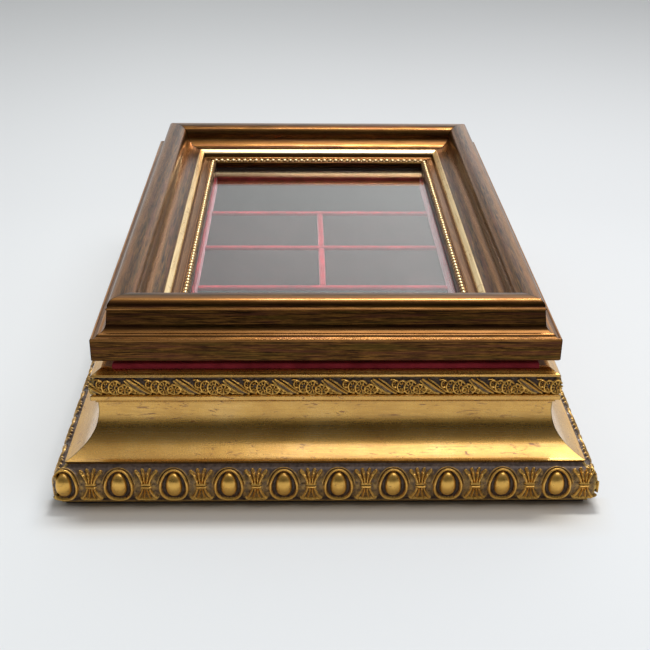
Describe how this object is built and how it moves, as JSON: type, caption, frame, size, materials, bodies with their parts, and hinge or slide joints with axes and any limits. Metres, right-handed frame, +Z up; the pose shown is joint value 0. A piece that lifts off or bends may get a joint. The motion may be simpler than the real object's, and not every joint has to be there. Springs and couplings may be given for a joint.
{
  "type": "coin display tray",
  "caption": "Casket-like coin display tray of gilt picture-frame moulding, with a velvet compartment tray under a hinged glazed lid.",
  "frame": {"origin": "middle of the underside, on the surface that the tray stands on", "axes": "+Z up; -Y is the front and +Y the hinged back; +X is to the right seen from the front"},
  "size_m": [0.2732, 0.3588, 0.1015],
  "materials": {
    "gilt_moulding": "satin",
    "bronze_moulding": "satin",
    "burgundy_velvet": "matte",
    "black_velvet": "matte",
    "board": "matte",
    "softwood": "matte",
    "stained_wood": "matte",
    "felt": "matte",
    "glass": "gloss",
    "brass": "satin",
    "steel": "satin",
    "silicone": "gloss"
  },
  "bodies": {
    "root": {"base_front_rail": "gilt_moulding", "base_back_rail": "gilt_moulding", "base_left_rail": "gilt_moulding", "base_right_rail": "gilt_moulding", "tray_flange_front": "burgundy_velvet", "tray_flange_back": "burgundy_velvet", "tray_flange_left": "burgundy_velvet", "tray_flange_right": "burgundy_velvet", "tray_wall_front": "burgundy_velvet", "tray_wall_back": "burgundy_velvet", "tray_wall_left": "burgundy_velvet", "tray_wall_right": "burgundy_velvet", "cross_divider_front": "burgundy_velvet", "cross_divider_middle": "burgundy_velvet", "cross_divider_back": "burgundy_velvet", "centre_divider_front": "burgundy_velvet", "centre_divider_back": "burgundy_velvet", "coin_pad_front": "black_velvet", "coin_pad_back": "black_velvet", "coin_pad_front_left": "black_velvet", "coin_pad_front_right": "black_velvet", "coin_pad_back_left": "black_velvet", "coin_pad_back_right": "black_velvet", "base_bottom_board": "board", "tray_floor": "board", "base_felt": "felt", "corner_blocks": "softwood", "base_v_nails": "steel", "board_brads": "steel", "hinge_base_leaf_left": "brass", "hinge_base_leaf_right": "brass", "hinge_pin_left": "brass", "hinge_pin_right": "brass", "hinge_screws_base": "brass"},
    "lid": {"lid_front_rail": "bronze_moulding", "lid_back_rail": "bronze_moulding", "lid_left_rail": "bronze_moulding", "lid_right_rail": "bronze_moulding", "glass_retainer_front": "stained_wood", "glass_retainer_back": "stained_wood", "glass_retainer_left": "stained_wood", "glass_retainer_right": "stained_wood", "lid_v_nails": "steel", "lid_glass": "glass", "retainer_brads": "steel", "lid_bumpers": "silicone", "hinge_lid_leaf_left": "brass", "hinge_lid_leaf_right": "brass", "hinge_screws_lid": "brass"}
  },
  "joints": [
    {"name": "lid_hinge", "type": "hinge", "parent": "root", "child": "lid", "pos_m": [0, 0.16035, 0.069], "axis": [-1, 0, 0], "range_deg": [0, 100]}
  ]
}
